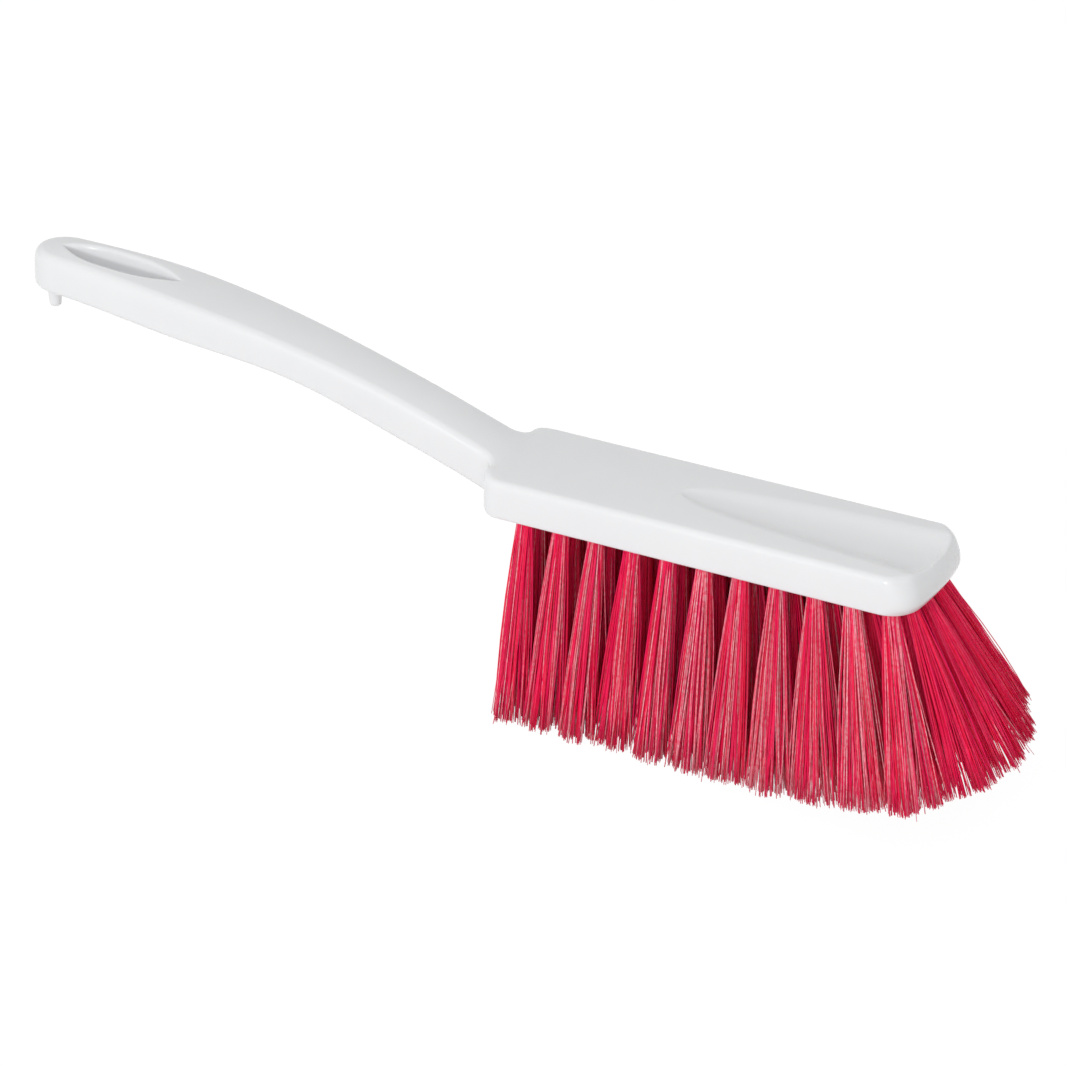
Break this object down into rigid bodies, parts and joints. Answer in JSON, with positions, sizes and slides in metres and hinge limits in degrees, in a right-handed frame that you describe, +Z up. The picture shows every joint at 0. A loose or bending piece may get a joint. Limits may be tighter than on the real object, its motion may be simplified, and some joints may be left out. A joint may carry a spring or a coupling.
{
  "type": "hand broom",
  "caption": "Curved-handle hand broom: a one-piece plastic block and handle with a thumb recess and hanging slot, and flared bristle tufts.",
  "frame": {"origin": "middle of the bounding box's underside, on the floor that the bristle tips stand on", "axes": "+X from the handle's tip to the block's front, +Y across the block, +Z up"},
  "size_m": [0.3642, 0.0903, 0.1195],
  "materials": {
    "white_polypropylene": "satin moulded white",
    "red_filament": "drawn crimson filament"
  },
  "bodies": {
    "root": {"moulded_body": "white_polypropylene", "tuft_row1_01": "red_filament", "tuft_row1_02": "red_filament", "tuft_row1_03": "red_filament", "tuft_row1_04": "red_filament", "tuft_row1_05": "red_filament", "tuft_row1_06": "red_filament", "tuft_row1_07": "red_filament", "tuft_row1_08": "red_filament", "tuft_row1_09": "red_filament", "tuft_row1_10": "red_filament", "tuft_row1_11": "red_filament", "tuft_row2_01": "red_filament", "tuft_row2_02": "red_filament", "tuft_row2_03": "red_filament", "tuft_row2_04": "red_filament", "tuft_row2_05": "red_filament", "tuft_row2_06": "red_filament", "tuft_row2_07": "red_filament", "tuft_row2_08": "red_filament", "tuft_row2_09": "red_filament", "tuft_row2_10": "red_filament", "tuft_row2_11": "red_filament", "tuft_row3_01": "red_filament", "tuft_row3_02": "red_filament", "tuft_row3_03": "red_filament", "tuft_row3_04": "red_filament", "tuft_row3_05": "red_filament", "tuft_row3_06": "red_filament", "tuft_row3_07": "red_filament", "tuft_row3_08": "red_filament", "tuft_row3_09": "red_filament", "tuft_row3_10": "red_filament", "tuft_row3_11": "red_filament", "tuft_row4_01": "red_filament", "tuft_row4_02": "red_filament", "tuft_row4_03": "red_filament", "tuft_row4_04": "red_filament", "tuft_row4_05": "red_filament", "tuft_row4_06": "red_filament", "tuft_row4_07": "red_filament", "tuft_row4_08": "red_filament", "tuft_row4_09": "red_filament", "tuft_row4_10": "red_filament", "tuft_row4_11": "red_filament", "tuft_row5_01": "red_filament", "tuft_row5_02": "red_filament", "tuft_row5_03": "red_filament", "tuft_row5_04": "red_filament", "tuft_row5_05": "red_filament", "tuft_row5_06": "red_filament", "tuft_row5_07": "red_filament", "tuft_row5_08": "red_filament", "tuft_row5_09": "red_filament", "tuft_row5_10": "red_filament", "tuft_row5_11": "red_filament"}
  },
  "joints": []
}
